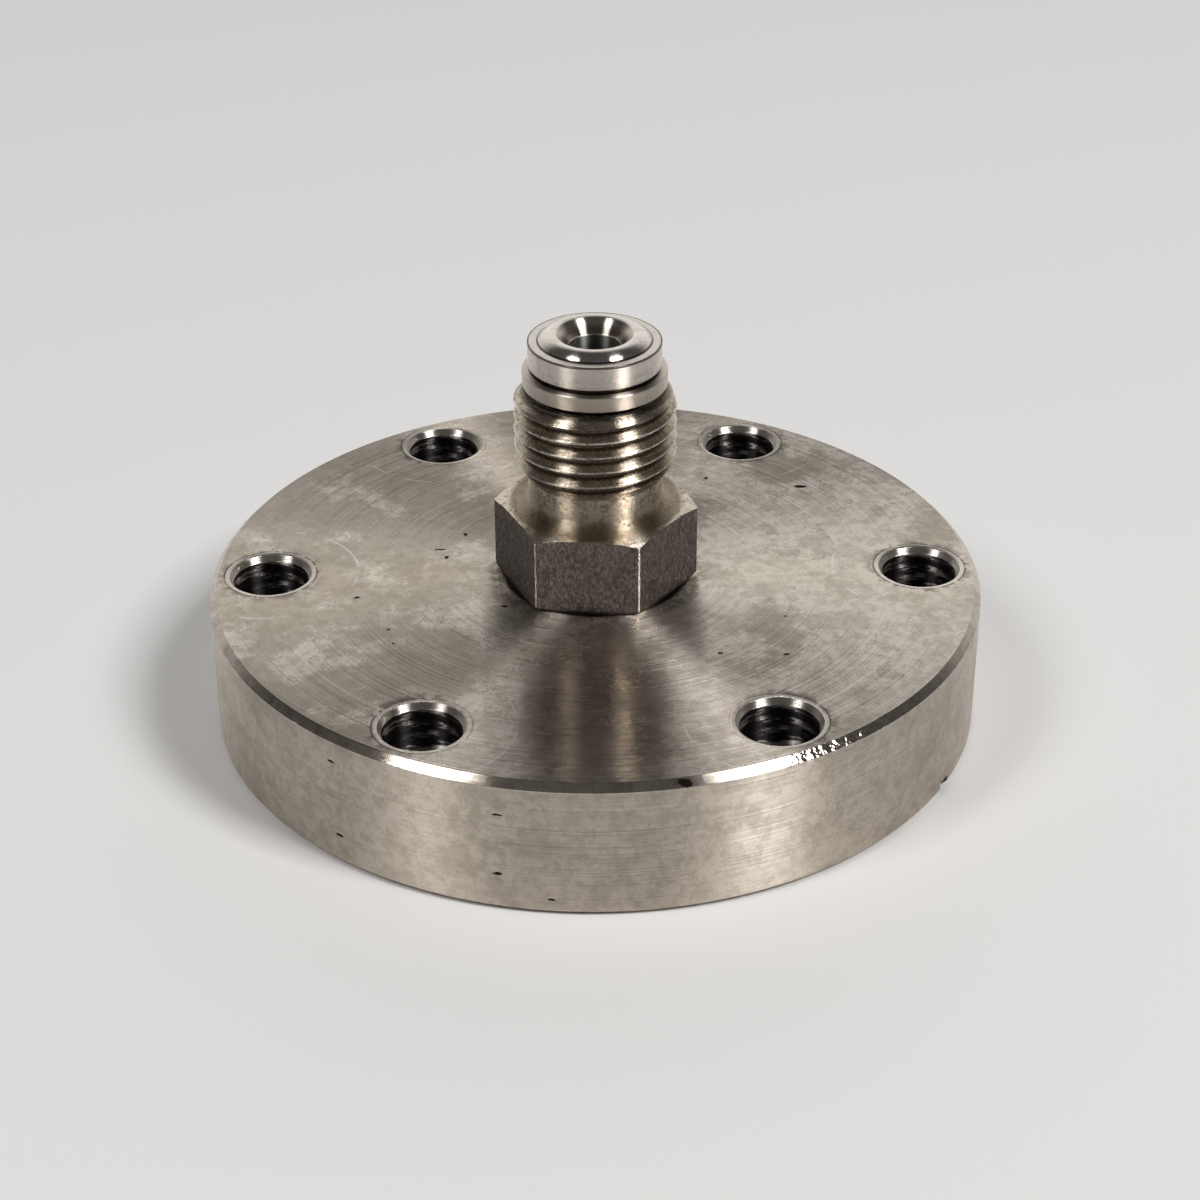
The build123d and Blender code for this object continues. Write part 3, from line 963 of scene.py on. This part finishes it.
# painted shadow: the flats go near-black along their foot, next to the flange
ragged = calc(tree, "MULTIPLY_ADD", mottle, 0.6, height)
foot = fade(tree, ragged, nut_z / mm + 0.75, nut_z / mm + 0.35)
steel = tint(tree, fade(tree, grain, 0.36, 0.66), (0.135, 0.112, 0.108), (0.315, 0.275, 0.262))
steel = coat(tree, steel, (0.115, 0.095, 0.09), 0.5, fade(tree, mottle, 0.5, 0.66))
steel = tint(tree, worn, steel, (0.84, 0.80, 0.74))
steel = coat(tree, steel, (0.03, 0.024, 0.02), 0.9, foot)
rough = blend(tree, worn, blend(tree, grain, 0.38, 0.52), 0.26)
relief = calc(tree, "MULTIPLY_ADD", coarse, 3.6, grain)
finish(tree, shader, outward, steel, rough, relief, 6e-5)
nut.data.materials.append(material)
centres = np.empty(3 * len(nut.data.polygons))
normals = np.empty_like(centres)
nut.data.polygons.foreach_get("center", centres)
nut.data.polygons.foreach_get("normal", normals)
centres, normals = centres.reshape(-1, 3), normals.reshape(-1, 3)
vertical = np.abs(normals[:, 2]) < 0.05
outer = np.hypot(centres[:, 0], centres[:, 1]) > neck_radius + mm
on_flats = vertical & outer & (centres[:, 2] < hex_top)
nut.data.polygons.foreach_set("material_index", on_flats.astype(np.int32))
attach(nut, "nut_body")
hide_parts("male_nut")

# === Table, lamps and camera ===========================================================
# A plain pale table in a room that is light behind the object and dark in front of it,
# and two soft rectangular lamps in front, left and right.

table_mesh = bpy.data.meshes.new("table")
half = 2.5
corners = [(-half, -half, 0), (half, -half, 0), (half, half, 0), (-half, half, 0)]
table_mesh.from_pydata(corners, [], [(0, 1, 2, 3)])
table = bpy.data.objects.new("table", table_mesh)
bpy.context.scene.collection.objects.link(table)
material = bpy.data.materials.new("pale_table")
material.use_nodes = True
shader = material.node_tree.nodes["Principled BSDF"]
shader.inputs["Base Color"].default_value = (0.80, 0.79, 0.78, 1)
shader.inputs["Roughness"].default_value = 0.6
table_mesh.materials.append(material)

camera_azimuth = math.radians(1.82)
camera_height = math.radians(30.26)
camera_roll = math.radians(-0.19)
right = np.array([math.cos(camera_azimuth), -math.sin(camera_azimuth), 0])
ahead = np.array([math.sin(camera_azimuth), math.cos(camera_azimuth), 0])
back = -ahead * math.cos(camera_height) + np.array([0, 0, math.sin(camera_height)])
above = np.cross(back, right)
camera_data = bpy.data.cameras.new("camera")
camera_data.sensor_width = 36
camera_data.lens = 76.8
camera_data.shift_x = -0.030
camera_data.clip_start = 0.01
camera = bpy.data.objects.new("camera", camera_data)
bpy.context.scene.collection.objects.link(camera)
bpy.context.scene.camera = camera
camera_place = right * 3.63 * mm + above * 8.27 * mm + back * 238.3 * mm
image_right = right * math.cos(camera_roll) - above * math.sin(camera_roll)
image_up = right * math.sin(camera_roll) + above * math.cos(camera_roll)
camera.matrix_world = Matrix(
    [
        (*row, shift)
        for row, shift in zip(np.stack([image_right, image_up, back], 1), camera_place)
    ]
    + [(0, 0, 0, 1)]
)

lamp_distance = 1.5
lamp_height = math.radians(50)
for side, azimuth, power in (("left", -59, 6.9), ("right", 57, 15.4)):
    lamp_data = bpy.data.lights.new(f"{side}_lamp", "AREA")
    lamp_data.shape = "RECTANGLE"
    lamp_data.size = 0.38
    lamp_data.size_y = 0.56
    lamp_data.energy = power
    lamp = bpy.data.objects.new(f"{side}_lamp", lamp_data)
    bpy.context.scene.collection.objects.link(lamp)
    level = math.cos(lamp_height)
    turn = math.radians(azimuth)
    away = np.array([math.sin(turn) * level, -math.cos(turn) * level, math.sin(lamp_height)])
    lamp.location = away * lamp_distance
    lamp.rotation_mode = "QUATERNION"
    lamp.rotation_quaternion = Vector(away).to_track_quat("Z", "Y")

world = bpy.data.worlds.new("room")
bpy.context.scene.world = world
world.use_nodes = True
tree = world.node_tree
direction = node(tree, "ShaderNodeTexCoord").outputs["Generated"]
_, depth, height = node(tree, "ShaderNodeSeparateXYZ", {0: direction}).outputs
behind = times(tree, fade(tree, depth, 0.28, 0.98), fade(tree, height, 0.80, 0.52))
before = times(tree, fade(tree, depth, 0.1, -0.3), fade(tree, height, 0.95, 0.75))
room = tint(tree, before, (0.07, 0.07, 0.07), (0.11, 0.105, 0.10))
room = tint(tree, behind, room, (0.94, 0.93, 0.915))
tree.links.new(room, tree.nodes["Background"].inputs["Color"])

bpy.context.scene.view_settings.view_transform = "Standard"
